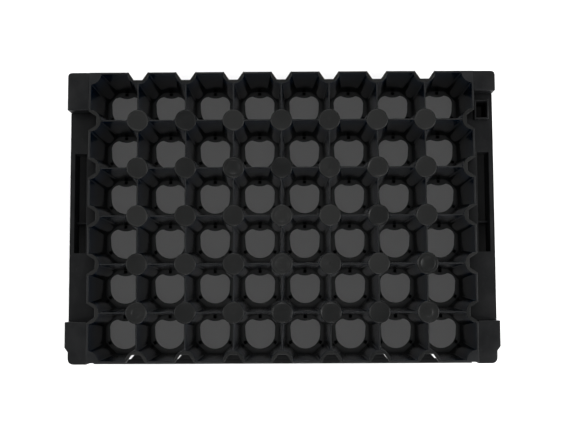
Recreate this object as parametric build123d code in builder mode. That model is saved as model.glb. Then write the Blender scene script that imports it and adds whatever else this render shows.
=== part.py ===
"""Deep 48-cell plug tray: tapering open-bottomed cells hung from a ridged deck with round post caps."""

from build123d import *
import os
from math import sqrt

os.makedirs("parts", exist_ok=True)

# ---- Driving dimensions, millimetres. +X along the tray, +Y to its back long side, +Z up. ----
COLUMNS = 8
ROWS = 6
PITCH = 66.5
DECK_TOP = 109.0
DECK_THICKNESS = 2.5
RIDGE_WIDTH = 3.6
CAP_RADIUS = 15.0
CAP_RISE = 1.0
CAP_EDGE_RADIUS = 0.8

# Cells: eight-sided funnels, flats on X and Y, corner facets tangent to the post caps.
CELL_WALL = 1.5
CELL_FLOOR = 2.0
FLOOR_INRADIUS = 27.9

# Drain hole in the cell floor: a half circle in front, rounded shoulders and a shallow dip behind.
DRAIN_RADIUS = 21.6
SHOULDER_X = 22.1
SHOULDER_Y = 10.3
SHOULDER_MIDDLE = (18.8, 17.6)
DIP_HALF_WIDTH = 10.5
DIP_SIDE_Y = 21.4
DIP_MIDDLE_Y = 19.0

# Foot pits: three small square pits in every cell floor, blind, one of them in the middle of the back.
PIT_COUNT = 3
PIT_SIZE = 4.2
PIT_RADIUS = 25.3
PIT_FIRST_ANGLE = 90
PIT_BASE = 0.5

# Long sides: the rim stands a little outside the last row and is notched at every column line.
RIM_OVERHANG = 1.5
NOTCH_MOUTH_HALF = 13.5
NOTCH_FOOT_HALF = 6.0
NOTCH_DEPTH = 11.0

# Side rails: a shelf with a down-turned lip along each long side, and webs that fill the grooves.
RAIL_TOP = 64.0
RAIL_LIP_HEIGHT = 12.0
FRONT_RAIL_REACH = 205.5
BACK_RAIL_REACH = 200.2
GROOVE_WEB_DEPTH = 15.0
RAIL_CLEARANCE = 0.1

# Ends: a lower flange with a skirt and a long hand pocket, between raised corner blocks.
TRAY_LENGTH = 595.0
SHEET = 2.5
FLANGE_TOP = 85.0
SKIRT_FOOT = 52.5
END_WALL_THICKNESS = 1.6
HAND_POCKET_INNER_X = 274.6
HAND_POCKET_OUTER_X = 291.0
HAND_POCKET_BACK_Y = 90.0
HAND_POCKET_FRONT_Y = -50.0
HAND_POCKET_FLOOR = 55.0
HAND_POCKET_RIB_Y = -7.0
HAND_POCKET_RIB_TOP = 70.0

# Latch socket beside the short corner block: a small square socket in a raised collar.
SOCKET_CENTER = (281.0, 149.5)
SOCKET_SIZE = (15.0, 23.0)
SOCKET_COLLAR_RISE = 8.0

# Corner blocks: how far each runs along the end, from its long side. The front ones are narrower
# near their corner.
BLOCK_LENGTH_BACK_LEFT = 53.0
BLOCK_LENGTH_BACK_RIGHT = 28.0
BLOCK_LENGTH_FRONT = 58.0
BLOCK_FRONT_EDGE = 203.0
BLOCK_BACK_RADIUS = 6.5
BLOCK_FRONT_RADIUS = 9.0
BLOCK_STEP_IN = 4.5
BLOCK_STEP_LENGTH = 17.0

# ---- Worked out from the driving dimensions. ----
HALF_LENGTH = COLUMNS * PITCH / 2
HALF_WIDTH = ROWS * PITCH / 2
DECK_BASE = DECK_TOP - DECK_THICKNESS
HALF_RIDGE = RIDGE_WIDTH / 2
MOUTH_FLAT = PITCH / 2 - HALF_RIDGE
MOUTH_FACET = PITCH / sqrt(2) - CAP_RADIUS
END_WALL_OUTER = HALF_LENGTH + HALF_RIDGE
HALF_TRAY = TRAY_LENGTH / 2
BACK_EDGE = HALF_WIDTH + RIM_OVERHANG
FLANGE_BASE = FLANGE_TOP - SHEET
SIDES = ("front", "back", "left", "right")


def save(part, name):
    """Label a finished sub-part and write it as its own STEP file."""
    part.label = name
    export_step(part, f"parts/{name}.step")


def octagon(flat, facet):
    """Corners of an eight-sided outline from its flat and corner-facet distances."""
    reach = facet * sqrt(2) - flat
    quarter = [(flat, -reach), (flat, reach), (reach, flat), (-reach, flat)]
    return quarter + [(-x, -y) for x, y in quarter]


def toward(side, u, v):
    """Turn node coordinates (u along the edge, v into the tray) into X, Y for one side of the tray."""
    turned = {"front": (u, v), "back": (-u, -v), "left": (v, -u), "right": (-v, u)}
    return turned[side]


def edge_outline(side, points):
    """A node-coordinate outline turned to face one side of the tray."""
    return [toward(side, u, v) for u, v in points]


def drain_hole():
    """Face of the drain hole, from a half circle, two shoulders and the dip."""
    middle_x, middle_y = SHOULDER_MIDDLE
    with BuildSketch() as hole:
        with BuildLine():
            ThreePointArc((-DRAIN_RADIUS, 0), (0, -DRAIN_RADIUS), (DRAIN_RADIUS, 0))
            Line((DRAIN_RADIUS, 0), (SHOULDER_X, SHOULDER_Y))
            ThreePointArc((SHOULDER_X, SHOULDER_Y), (middle_x, middle_y), (DIP_HALF_WIDTH, DIP_SIDE_Y))
            ThreePointArc((DIP_HALF_WIDTH, DIP_SIDE_Y), (0, DIP_MIDDLE_Y), (-DIP_HALF_WIDTH, DIP_SIDE_Y))
            ThreePointArc((-DIP_HALF_WIDTH, DIP_SIDE_Y), (-middle_x, middle_y), (-SHOULDER_X, SHOULDER_Y))
            Line((-SHOULDER_X, SHOULDER_Y), (-DRAIN_RADIUS, 0))
        make_face()
    return hole.sketch


def make_cell(x, y):
    """One cell: a tapering eight-sided wall, and a floor ring with its drain hole and pits."""
    outer_foot = FLOOR_INRADIUS + CELL_WALL
    with BuildPart() as cell:
        with BuildSketch(Plane((x, y, 0))):
            Polygon(*octagon(outer_foot, outer_foot), align=None)
        with BuildSketch(Plane((x, y, DECK_BASE))):
            Polygon(*octagon(MOUTH_FLAT + CELL_WALL, MOUTH_FACET + CELL_WALL), align=None)
        loft(ruled=True)
        with BuildSketch(Plane((x, y, CELL_FLOOR))):
            Polygon(*octagon(FLOOR_INRADIUS, FLOOR_INRADIUS), align=None)
        with BuildSketch(Plane((x, y, DECK_BASE))):
            Polygon(*octagon(MOUTH_FLAT, MOUTH_FACET), align=None)
        loft(ruled=True, mode=Mode.SUBTRACT)
        with BuildSketch(Plane((x, y, 0))):
            add(drain_hole())
        extrude(amount=CELL_FLOOR, mode=Mode.SUBTRACT)
        with BuildSketch(Plane((x, y, PIT_BASE))):
            with PolarLocations(PIT_RADIUS, PIT_COUNT, PIT_FIRST_ANGLE):
                Rectangle(PIT_SIZE, PIT_SIZE)
        extrude(amount=CELL_FLOOR - PIT_BASE, mode=Mode.SUBTRACT)
    return cell.part


def make_cells():
    """All cells, counted in rows from the back left corner."""
    for row in range(ROWS):
        for column in range(COLUMNS):
            x = (column - (COLUMNS - 1) / 2) * PITCH
            y = ((ROWS - 1) / 2 - row) * PITCH
            save(make_cell(x, y), f"cell_r{row + 1}c{column + 1}")


def make_post_caps():
    """Raised round discs on every inner node of the grid."""
    with BuildPart() as caps:
        with BuildSketch(Plane.XY.offset(DECK_TOP)):
            with GridLocations(PITCH, PITCH, COLUMNS - 1, ROWS - 1):
                Circle(CAP_RADIUS)
        extrude(amount=CAP_RISE)
        fillet(caps.edges().group_by(Axis.Z)[-1], CAP_EDGE_RADIUS)
    save(caps.part, "post_caps")


def make_post_webs():
    """Round deck plates under the caps, and the four quarter plates in the corners of the rim."""
    with BuildPart() as webs:
        with BuildSketch(Plane.XY.offset(DECK_BASE)):
            with GridLocations(PITCH, PITCH, COLUMNS - 1, ROWS - 1):
                Circle(CAP_RADIUS)
            with GridLocations(2 * HALF_LENGTH, 2 * HALF_WIDTH, 2, 2):
                Circle(CAP_RADIUS)
            Rectangle(2 * END_WALL_OUTER, 2 * BACK_EDGE, mode=Mode.INTERSECT)
        extrude(amount=DECK_THICKNESS)
    save(webs.part, "post_webs")


def cut_nodes():
    """Cut every round plate and lip of the deck out of the active sketch."""
    with GridLocations(PITCH, PITCH, COLUMNS - 1, ROWS - 1):
        Circle(CAP_RADIUS, mode=Mode.SUBTRACT)
    with GridLocations(2 * HALF_LENGTH, 2 * HALF_WIDTH, 2, 2):
        Circle(CAP_RADIUS, mode=Mode.SUBTRACT)
    for side in SIDES:
        with Locations(*lip_centers(side)):
            Circle(CAP_RADIUS, mode=Mode.SUBTRACT)


def make_row_ridges():
    """Ridge bars along X between the nodes, with the two long rims as the outermost lines."""
    rim_width = HALF_RIDGE + RIM_OVERHANG
    rim_y = HALF_WIDTH + (RIM_OVERHANG - HALF_RIDGE) / 2
    with BuildPart() as ridges:
        with BuildSketch(Plane.XY.offset(DECK_BASE)):
            with GridLocations(PITCH, PITCH, COLUMNS, ROWS - 1):
                Rectangle(PITCH, RIDGE_WIDTH)
            with GridLocations(PITCH, 2 * rim_y, COLUMNS, 2):
                Rectangle(PITCH, rim_width)
            cut_nodes()
        extrude(amount=DECK_THICKNESS)
    save(ridges.part, "row_ridges")


def make_column_ridges():
    """Ridge bars along Y between the nodes, with the two end rims as the outermost lines."""
    with BuildPart() as ridges:
        with BuildSketch(Plane.XY.offset(DECK_BASE)):
            with GridLocations(PITCH, PITCH, COLUMNS + 1, ROWS):
                Rectangle(RIDGE_WIDTH, PITCH)
            cut_nodes()
        extrude(amount=DECK_THICKNESS)
    save(ridges.part, "column_ridges")


def edge_nodes(side):
    """Centres of the rim nodes on one side, leaving out the corners."""
    if side in ("front", "back"):
        y = -HALF_WIDTH if side == "front" else HALF_WIDTH
        return [((i - COLUMNS / 2) * PITCH, y) for i in range(1, COLUMNS)]
    x = -HALF_LENGTH if side == "left" else HALF_LENGTH
    return [(x, (i - ROWS / 2) * PITCH) for i in range(1, ROWS)]


def lip_centers(side):
    """Centres of the round lips on one side: on the rim's edge along the long sides, on the node line at the ends."""
    centers = edge_nodes(side)
    if side in ("front", "back"):
        centers = [(x, y * BACK_EDGE / HALF_WIDTH) for x, y in centers]
    return centers


def recess_outline(face, growth=0.0):
    """Open side of a notch or a nose: in from the face, across its foot and out, grown by a wall's thickness."""
    slope = (NOTCH_MOUTH_HALF - NOTCH_FOOT_HALF) / NOTCH_DEPTH
    widening = growth * sqrt(1 + slope**2)
    mouth = NOTCH_MOUTH_HALF + widening
    foot = NOTCH_FOOT_HALF + widening - growth * slope
    depth = face + NOTCH_DEPTH + growth
    return [(-mouth, face), (-foot, depth), (foot, depth), (mouth, face)]


def make_rim_lips():
    """Round lips of the rim, open at the notches of the long sides and at the noses of the ends."""
    with BuildPart() as lips:
        with BuildSketch(Plane.XY.offset(DECK_BASE)):
            for side in SIDES:
                with Locations(*lip_centers(side)):
                    Circle(CAP_RADIUS)
            Rectangle(2 * END_WALL_OUTER, 2 * BACK_EDGE, mode=Mode.INTERSECT)
            for side in SIDES:
                face = -RIM_OVERHANG if side in ("front", "back") else -HALF_RIDGE
                with Locations(*edge_nodes(side)):
                    Polygon(*edge_outline(side, recess_outline(face)), align=None, mode=Mode.SUBTRACT)
        extrude(amount=DECK_THICKNESS)
    save(lips.part, "rim_lips")


def make_side_rails():
    """Shelf with a down-turned lip along each long side, between the corner blocks."""
    lip_foot = RAIL_TOP - SHEET - RAIL_LIP_HEIGHT
    shelf_start = cell_face_at(RAIL_TOP) + RAIL_CLEARANCE
    with BuildPart() as rails:
        for sign, reach in ((-1, FRONT_RAIL_REACH), (1, BACK_RAIL_REACH)):
            with BuildSketch(Plane.YZ.offset(-HALF_LENGTH)):
                with BuildLine():
                    Polyline(
                        (sign * shelf_start, RAIL_TOP),
                        (sign * reach, RAIL_TOP),
                        (sign * reach, lip_foot),
                        (sign * (reach - SHEET / 2), lip_foot),
                        (sign * (reach - SHEET / 2), RAIL_TOP - SHEET),
                        (sign * shelf_start, RAIL_TOP - SHEET),
                        close=True,
                    )
                make_face()
            extrude(amount=2 * HALF_LENGTH)
    save(rails.part, "side_rails")


def cell_face_at(height):
    """Distance from the tray's middle to the outer face of the last row of cells, at one height."""
    foot = FLOOR_INRADIUS + CELL_WALL
    mouth = MOUTH_FLAT + CELL_WALL
    return HALF_WIDTH - PITCH / 2 + foot + (mouth - foot) * height / DECK_BASE


def make_groove_webs():
    """Flat webs that fill the grooves between neighbouring outer cells, level with the rails."""
    foot = FLOOR_INRADIUS + CELL_WALL
    mouth = MOUTH_FACET + CELL_WALL
    facet = foot + (mouth - foot) * RAIL_TOP / DECK_BASE
    groove = PITCH - facet * sqrt(2) - RAIL_CLEARANCE
    start = HALF_WIDTH - cell_face_at(RAIL_TOP) - RAIL_CLEARANCE
    end = GROOVE_WEB_DEPTH
    web = [(start - groove, start), (groove - start, start), (groove - end, end), (end - groove, end)]
    with BuildPart() as webs:
        with BuildSketch(Plane.XY.offset(RAIL_TOP - SHEET)):
            for side in ("front", "back"):
                with Locations(*edge_nodes(side)):
                    Polygon(*edge_outline(side, web), align=None)
        extrude(amount=SHEET)
    save(webs.part, "groove_webs")


def make_end_wall(side):
    """Upright wall from the flange to the deck, bent into the noses between the end cells."""
    sign = -1 if side == "left" else 1
    wall_x = sign * (END_WALL_OUTER - END_WALL_THICKNESS / 2)
    with BuildPart() as wall:
        with BuildSketch(Plane.XY.offset(FLANGE_BASE)):
            with Locations((wall_x, 0)):
                Rectangle(END_WALL_THICKNESS, 2 * HALF_WIDTH)
            with Locations(*edge_nodes(side)):
                outer = recess_outline(-HALF_RIDGE, END_WALL_THICKNESS)
                inner = recess_outline(-HALF_RIDGE)
                Polygon(*edge_outline(side, outer), align=None)
                Polygon(*edge_outline(side, inner), align=None, mode=Mode.SUBTRACT)
        extrude(amount=DECK_BASE - FLANGE_BASE)
    return wall.part


def block_spans(side):
    """Where the flange of one end starts and stops between its corner blocks."""
    back = BLOCK_LENGTH_BACK_LEFT if side == "left" else BLOCK_LENGTH_BACK_RIGHT
    return BLOCK_LENGTH_FRONT - BLOCK_FRONT_EDGE, BACK_EDGE - back


def make_end_flange(side):
    """Flange plate with its nose tongues, outer skirt and closed hand pocket, drawn on the right end."""
    front, back = block_spans(side)
    tongue = recess_outline(-HALF_RIDGE)
    walls = (HAND_POCKET_INNER_X - SHEET, HAND_POCKET_FRONT_Y - SHEET, HAND_POCKET_FLOOR - SHEET)
    walls_end = (HAND_POCKET_OUTER_X + SHEET, HAND_POCKET_BACK_Y + SHEET, FLANGE_BASE)
    hollow = (HAND_POCKET_INNER_X, HAND_POCKET_FRONT_Y, HAND_POCKET_FLOOR)
    hollow_end = (HAND_POCKET_OUTER_X, HAND_POCKET_BACK_Y, FLANGE_TOP)
    rib = (HAND_POCKET_INNER_X, HAND_POCKET_RIB_Y - SHEET / 2, HAND_POCKET_FLOOR)
    rib_end = (HAND_POCKET_OUTER_X, HAND_POCKET_RIB_Y + SHEET / 2, HAND_POCKET_RIB_TOP)
    with BuildPart() as flange:
        add_box((END_WALL_OUTER, front, FLANGE_BASE), (HALF_TRAY, back, FLANGE_TOP))
        add_box((HALF_TRAY - SHEET, front, SKIRT_FOOT), (HALF_TRAY, back, FLANGE_TOP))
        with BuildSketch(Plane.XY.offset(FLANGE_BASE)):
            with Locations(*edge_nodes("right")):
                Polygon(*edge_outline("right", tongue), align=None)
        extrude(amount=SHEET)
        add_box(walls, walls_end)
        add_box(hollow, hollow_end, Mode.SUBTRACT)
        add_box(rib, rib_end)
        if side == "right":
            add_latch_socket()
        else:
            mirror(about=Plane.YZ, mode=Mode.REPLACE)
    return flange.part


def add_box(low, high, mode=Mode.ADD):
    """Add a box between two corners to the active part, or cut it."""
    size = [b - a for a, b in zip(low, high)]
    middle = tuple((a + b) / 2 for a, b in zip(low, high))
    with Locations(middle):
        Box(*size, mode=mode)


def add_latch_socket():
    """Square socket in a raised collar, sunk through the flange beside the short corner block."""
    x, y = SOCKET_CENTER
    half_x, half_y = SOCKET_SIZE[0] / 2, SOCKET_SIZE[1] / 2
    collar_top = FLANGE_TOP + SOCKET_COLLAR_RISE
    outer = (half_x + SHEET, half_y + SHEET)
    add_box((x - outer[0], y - outer[1], FLANGE_BASE), (x + outer[0], y + outer[1], collar_top))
    floor = HAND_POCKET_FLOOR
    add_box((x - outer[0], y - outer[1], floor - SHEET), (x + outer[0], y + outer[1], FLANGE_BASE))
    add_box((x - half_x, y - half_y, floor), (x + half_x, y + half_y, collar_top), Mode.SUBTRACT)


def block_plan(sign, low_y, high_y, inset):
    """Plan of one corner block, or of its hollow when drawn in by the sheet thickness."""
    near, far = END_WALL_OUTER, HALF_TRAY - inset
    front, back = low_y + inset, high_y - inset
    if low_y < 0:
        step_x = far - BLOCK_STEP_IN
        step_y = front + BLOCK_STEP_LENGTH
        corners = [(near, front), (step_x, front), (step_x, step_y), (far, step_y), (far, back), (near, back)]
        corner, radius = (step_x, front), BLOCK_FRONT_RADIUS
    else:
        corners = [(near, front), (far, front), (far, back), (near, back)]
        corner, radius = (far, back), BLOCK_BACK_RADIUS
    with BuildSketch() as plan:
        Polygon(*[(sign * x, y) for x, y in corners], align=None)
        outer_corner = plan.vertices().sort_by_distance((sign * corner[0], corner[1], 0))[0]
        fillet(outer_corner, radius - inset)
    return plan.sketch


def make_corner_blocks():
    """Hollow raised blocks on the four corners, open below and towards the cells."""
    spans = (
        (-1, BACK_EDGE - BLOCK_LENGTH_BACK_LEFT, BACK_EDGE),
        (1, BACK_EDGE - BLOCK_LENGTH_BACK_RIGHT, BACK_EDGE),
        (-1, -BLOCK_FRONT_EDGE, BLOCK_LENGTH_FRONT - BLOCK_FRONT_EDGE),
        (1, -BLOCK_FRONT_EDGE, BLOCK_LENGTH_FRONT - BLOCK_FRONT_EDGE),
    )
    with BuildPart() as blocks:
        for span in spans:
            with BuildSketch(Plane.XY.offset(SKIRT_FOOT)):
                add(block_plan(*span, 0))
            extrude(amount=DECK_TOP - SKIRT_FOOT)
            with BuildSketch(Plane.XY.offset(SKIRT_FOOT)):
                add(block_plan(*span, SHEET))
            extrude(amount=DECK_BASE - SKIRT_FOOT, mode=Mode.SUBTRACT)
    save(blocks.part, "corner_blocks")


make_cells()
make_post_caps()
make_post_webs()
make_row_ridges()
make_column_ridges()
make_rim_lips()
make_side_rails()
make_groove_webs()
make_corner_blocks()
for end in ("left", "right"):
    save(make_end_wall(end), f"end_wall_{end}")
    save(make_end_flange(end), f"end_flange_{end}")
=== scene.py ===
"""Scene of a deep plug tray on a pale floor, from its moulded cells to its end flanges and corner blocks."""

import logging
import math
from dataclasses import dataclass, field
from enum import Enum
from typing import Callable, Iterable, Sequence

import bmesh
import bpy
from mathutils import Euler, Matrix, Vector


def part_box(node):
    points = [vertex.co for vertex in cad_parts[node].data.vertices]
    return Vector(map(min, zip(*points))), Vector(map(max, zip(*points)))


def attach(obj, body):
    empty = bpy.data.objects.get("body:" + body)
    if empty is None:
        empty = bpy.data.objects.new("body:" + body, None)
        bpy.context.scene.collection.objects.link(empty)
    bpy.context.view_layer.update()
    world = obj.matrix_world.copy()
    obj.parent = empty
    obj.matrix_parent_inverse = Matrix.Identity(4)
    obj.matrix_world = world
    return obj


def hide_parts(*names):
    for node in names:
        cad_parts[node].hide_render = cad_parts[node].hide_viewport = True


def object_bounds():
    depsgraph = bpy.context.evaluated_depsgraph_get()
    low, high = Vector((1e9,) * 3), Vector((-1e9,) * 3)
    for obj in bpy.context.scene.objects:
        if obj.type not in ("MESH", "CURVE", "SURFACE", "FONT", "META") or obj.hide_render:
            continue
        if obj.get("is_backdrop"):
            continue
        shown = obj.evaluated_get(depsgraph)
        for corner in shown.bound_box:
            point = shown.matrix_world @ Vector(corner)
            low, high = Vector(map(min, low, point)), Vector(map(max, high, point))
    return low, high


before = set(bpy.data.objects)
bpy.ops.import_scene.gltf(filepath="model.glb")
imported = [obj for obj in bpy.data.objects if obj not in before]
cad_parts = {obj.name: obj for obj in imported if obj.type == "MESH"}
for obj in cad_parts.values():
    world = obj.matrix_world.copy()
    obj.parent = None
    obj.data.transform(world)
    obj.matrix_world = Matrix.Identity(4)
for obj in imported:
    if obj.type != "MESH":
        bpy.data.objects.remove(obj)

MM = 0.001
# Cells in a metre, for the tints that change from cap to cap.
PER_PITCH = 1 / 0.0665
# Rounding of the corners that the deck shares with the end walls.
RIM_ROUND = 1.2 * MM
BODY = "root"

logging.basicConfig(level=logging.INFO, format="%(name)s: %(message)s")
log = logging.getLogger("plug_tray")

Point = tuple[float, float]
Outline = list[Point]


# ---------------------------------------------------------------------------------------------
# Sizes shared by every sub-assembly
# ---------------------------------------------------------------------------------------------


class Side(Enum):
    """The four sides of the tray."""

    FRONT = "front"
    BACK = "back"
    LEFT = "left"
    RIGHT = "right"

    def turn(self, u: float, v: float) -> Point:
        """Turns edge coordinates (u along the side, v into the tray) into X and Y."""
        return {
            Side.FRONT: (u, v),
            Side.BACK: (-u, -v),
            Side.LEFT: (v, -u),
            Side.RIGHT: (-v, u),
        }[self]

    def at(self, spot: Point, outline: Outline) -> Outline:
        """Turns an outline from edge coordinates and moves it to a node on this side."""
        turned = [self.turn(u, v) for u, v in outline]
        return [(spot[0] + du, spot[1] + dv) for du, dv in turned]


@dataclass(frozen=True)
class TrayGrid:
    """Grid of cells and the levels that the other sub-assemblies hang on, in metres."""

    pitch: float
    columns: int
    rows: int
    deck_top: float
    deck_base: float
    cap_top: float
    foot: float
    flange_top: float
    rail_top: float
    end_reach: float
    block_front: float
    front_reach: float
    back_reach: float
    ridge: float = 3.6 * MM
    ridge_top: float = 1.9 * MM
    cap_radius: float = 15.0 * MM
    rim_overhang: float = 1.5 * MM

    @classmethod
    def from_frame(cls) -> "TrayGrid":
        """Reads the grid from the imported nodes.

        Returns:
            TrayGrid: the pitch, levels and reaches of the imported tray.
        """
        names = [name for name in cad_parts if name.startswith("cell_r")]
        rows = max(int(name[6]) for name in names)
        columns = max(int(name[8]) for name in names)
        first_low, first_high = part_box("cell_r1c1")
        last_low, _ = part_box(f"cell_r1c{columns}")
        deck_low, deck_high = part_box("post_webs")
        blocks_low, blocks_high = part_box("corner_blocks")
        return cls(
            pitch=(last_low.x - first_low.x) / (columns - 1),
            columns=columns,
            rows=rows,
            deck_top=deck_high.z,
            deck_base=deck_low.z,
            cap_top=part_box("post_caps")[1].z,
            foot=first_low.z,
            flange_top=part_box("end_flange_left")[1].z,
            rail_top=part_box("side_rails")[1].z,
            end_reach=blocks_high.x,
            block_front=-blocks_low.y,
            front_reach=-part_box("side_rails")[0].y,
            back_reach=deck_high.y,
        )

    @property
    def half_length(self) -> float:
        """Distance from the middle to the end node lines."""
        return self.columns * self.pitch / 2

    @property
    def half_width(self) -> float:
        """Distance from the middle to the long-side node lines."""
        return self.rows * self.pitch / 2

    def mouth(self, steps: int = 8) -> Outline:
        """Outline of a cell's mouth: straight along the ridges, hollowed round the post at each corner."""
        node = self.pitch / 2
        turn = math.degrees(math.asin(self.ridge_top / 2 / self.cap_radius))
        corner = Draw.arc((node, node), self.cap_radius, 270 - turn, 180 + turn, steps)
        return Draw.four_times(corner)

    @property
    def end_wall_x(self) -> float:
        """Outer face of the end walls."""
        return self.half_length + self.ridge / 2

    def cell_centre(self, row: int, column: int) -> Point:
        """Middle of one cell, with rows and columns counted from one at the back left."""
        x = (column - (self.columns + 1) / 2) * self.pitch
        y = ((self.rows + 1) / 2 - row) * self.pitch
        return x, y

    def inner_nodes(self) -> Iterable[tuple[int, int, float, float]]:
        """Row, column, X and Y of every node that carries a whole cap."""
        for row in range(1, self.rows):
            for column in range(1, self.columns):
                x = (column - self.columns / 2) * self.pitch
                y = (self.rows / 2 - row) * self.pitch
                yield row, column, x, y

    def edge_nodes(self, side: Side) -> list[Point]:
        """Nodes on one side of the tray, in the direction of the side's own u."""
        long_side = side in (Side.FRONT, Side.BACK)
        count = self.columns if long_side else self.rows
        spots = [(i - count / 2) * self.pitch for i in range(1, count)]
        inset = -self.half_width if long_side else -self.half_length
        return [side.turn(u, inset) for u in spots]


# ---------------------------------------------------------------------------------------------
# The workbench: modelling steps that every sub-assembly uses
# ---------------------------------------------------------------------------------------------


class Workbench:
    """Small modelling steps built from Blender's own operators."""

    @staticmethod
    def clear_selection() -> None:
        """Leaves object mode with nothing selected."""
        if bpy.context.mode != "OBJECT":
            bpy.ops.object.mode_set(mode="OBJECT")
        bpy.ops.object.select_all(action="DESELECT")

    @classmethod
    def activate(cls, piece: bpy.types.Object) -> None:
        """Selects one piece alone and makes it the active object."""
        cls.clear_selection()
        piece.select_set(True)
        bpy.context.view_layer.objects.active = piece

    @classmethod
    def settle(cls, piece: bpy.types.Object) -> None:
        """Bakes a piece's place and turn into its mesh."""
        cls.activate(piece)
        bpy.ops.object.transform_apply(location=True, rotation=True, scale=True)

    @classmethod
    def modify(cls, piece: bpy.types.Object, kind: str, **settings: object) -> None:
        """Adds one modifier, sets it and applies it.

        Args:
            piece: the mesh to finish.
            kind: Blender's name of the modifier.
            settings: the modifier's own values.
        """
        cls.activate(piece)
        modifier = piece.modifiers.new(kind.title(), kind)
        for name, value in settings.items():
            setattr(modifier, name, value)
        bpy.ops.object.modifier_apply(modifier=modifier.name)

    @classmethod
    def pick_faces(cls, piece: bpy.types.Object, test: Callable[[Vector, Vector], bool]) -> None:
        """Selects the faces that pass a test, leaving the piece in edit mode.

        Args:
            piece: the mesh to select on.
            test: takes a face's middle and its normal.
        """
        cls.activate(piece)
        bpy.ops.object.mode_set(mode="EDIT")
        bpy.ops.mesh.select_mode(type="FACE")
        bpy.ops.mesh.select_all(action="DESELECT")
        mesh = bmesh.from_edit_mesh(piece.data)
        for face in mesh.faces:
            if test(face.calc_center_median(), face.normal):
                face.select_set(True)
        bmesh.update_edit_mesh(piece.data)

    @classmethod
    def tidy(cls, piece: bpy.types.Object, smooth_angle: float = 35.0) -> None:
        """Merges doubles, turns the faces outwards and smooths the shallow edges."""
        cls.activate(piece)
        bpy.ops.object.mode_set(mode="EDIT")
        bpy.ops.mesh.select_all(action="SELECT")
        bpy.ops.mesh.remove_doubles(threshold=0.01 * MM)
        bpy.ops.mesh.normals_make_consistent(inside=False)
        bpy.ops.object.mode_set(mode="OBJECT")
        bpy.ops.object.shade_smooth_by_angle(angle=math.radians(smooth_angle))

    @classmethod
    def copy(cls, piece: bpy.types.Object, name: str, offset: Vector) -> bpy.types.Object:
        """Copies a piece with its own mesh and moves that mesh.

        Args:
            piece: the master.
            name: the copy's name.
            offset: how far the copy's mesh moves.

        Returns:
            bpy.types.Object: the copy, at the origin.
        """
        twin = bpy.data.objects.new(name, piece.data.copy())
        twin.data.name = name
        twin.data.transform(Matrix.Translation(offset))
        bpy.context.collection.objects.link(twin)
        return twin

    @classmethod
    def join(cls, pieces: Sequence[bpy.types.Object], name: str) -> bpy.types.Object:
        """Joins several meshes into one named piece."""
        cls.clear_selection()
        for piece in pieces:
            piece.select_set(True)
        bpy.context.view_layer.objects.active = pieces[0]
        bpy.ops.object.join()
        joined = bpy.context.view_layer.objects.active
        joined.name = name
        joined.data.name = name
        return joined

    @classmethod
    def discard(cls, piece: bpy.types.Object) -> None:
        """Removes a master that is no longer needed."""
        bpy.data.objects.remove(piece, do_unlink=True)

    @staticmethod
    def _ring(curve: bpy.types.Curve, outline: Outline, level: float) -> None:
        """Adds one closed line of straight pieces to a curve."""
        spline = curve.splines.new("POLY")
        spline.points.add(len(outline) - 1)
        for spot, (x, y) in zip(spline.points, outline):
            spot.co = (x, y, level, 1.0)
        spline.use_cyclic_u = True

    @classmethod
    def plate(
        cls,
        name: str,
        outlines: Sequence[Outline],
        base: float,
        top: float,
        edge: float = 0.8 * MM,
    ) -> bpy.types.Object:
        """Cuts a flat plate with rounded edges; outlines inside the first are its holes.

        Args:
            name: the plate's name.
            outlines: closed outlines, the outer ones first.
            base: level of the underside.
            top: level of the upper side.
            edge: radius of the rounded edges.

        Returns:
            bpy.types.Object: the plate as a mesh at the origin.
        """
        curve = bpy.data.curves.new(name, "CURVE")
        curve.dimensions = "2D"
        curve.fill_mode = "BOTH"
        curve.extrude = (top - base) / 2 - edge
        curve.bevel_depth = edge
        curve.bevel_resolution = 2
        curve.offset = -edge
        for outline in outlines:
            cls._ring(curve, outline, 0.0)
        piece = bpy.data.objects.new(name, curve)
        bpy.context.collection.objects.link(piece)
        piece.location.z = (base + top) / 2
        cls.activate(piece)
        bpy.ops.object.convert(target="MESH")
        piece = bpy.context.view_layer.objects.active
        cls.settle(piece)
        cls.tidy(piece)
        return piece

    @classmethod
    def loop(cls, name: str, outline: Outline, level: float) -> bpy.types.Object:
        """Closed line of edges at one level, ready for bridging."""
        curve = bpy.data.curves.new(name, "CURVE")
        cls._ring(curve, outline, level)
        curve.dimensions = "3D"
        piece = bpy.data.objects.new(name, curve)
        bpy.context.collection.objects.link(piece)
        cls.activate(piece)
        bpy.ops.object.convert(target="MESH")
        return bpy.context.view_layer.objects.active

    @classmethod
    def shell_box(
        cls,
        name: str,
        low: Vector,
        high: Vector,
        open_normal: Vector,
        thickness: float,
    ) -> bpy.types.Object:
        """Folds a thin box that is open on one side.

        Args:
            name: the box's name.
            low: lowest corner of its outside.
            high: highest corner of its outside.
            open_normal: which way the open side faces.
            thickness: sheet thickness, inwards.

        Returns:
            bpy.types.Object: the box with rounded edges.
        """
        cls.clear_selection()
        bpy.ops.mesh.primitive_cube_add(size=1.0, location=(low + high) / 2, scale=high - low)
        piece = bpy.context.view_layer.objects.active
        piece.name = name
        cls.settle(piece)
        cls.pick_faces(piece, lambda middle, normal: normal.dot(open_normal) > 0.9)
        bpy.ops.mesh.delete(type="FACE")
        cls.clear_selection()
        cls.modify(piece, "SOLIDIFY", thickness=thickness, offset=-1.0, use_even_offset=True)
        cls.modify(piece, "BEVEL", width=0.4 * thickness, segments=2, limit_method="ANGLE")
        cls.tidy(piece)
        return piece


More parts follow.
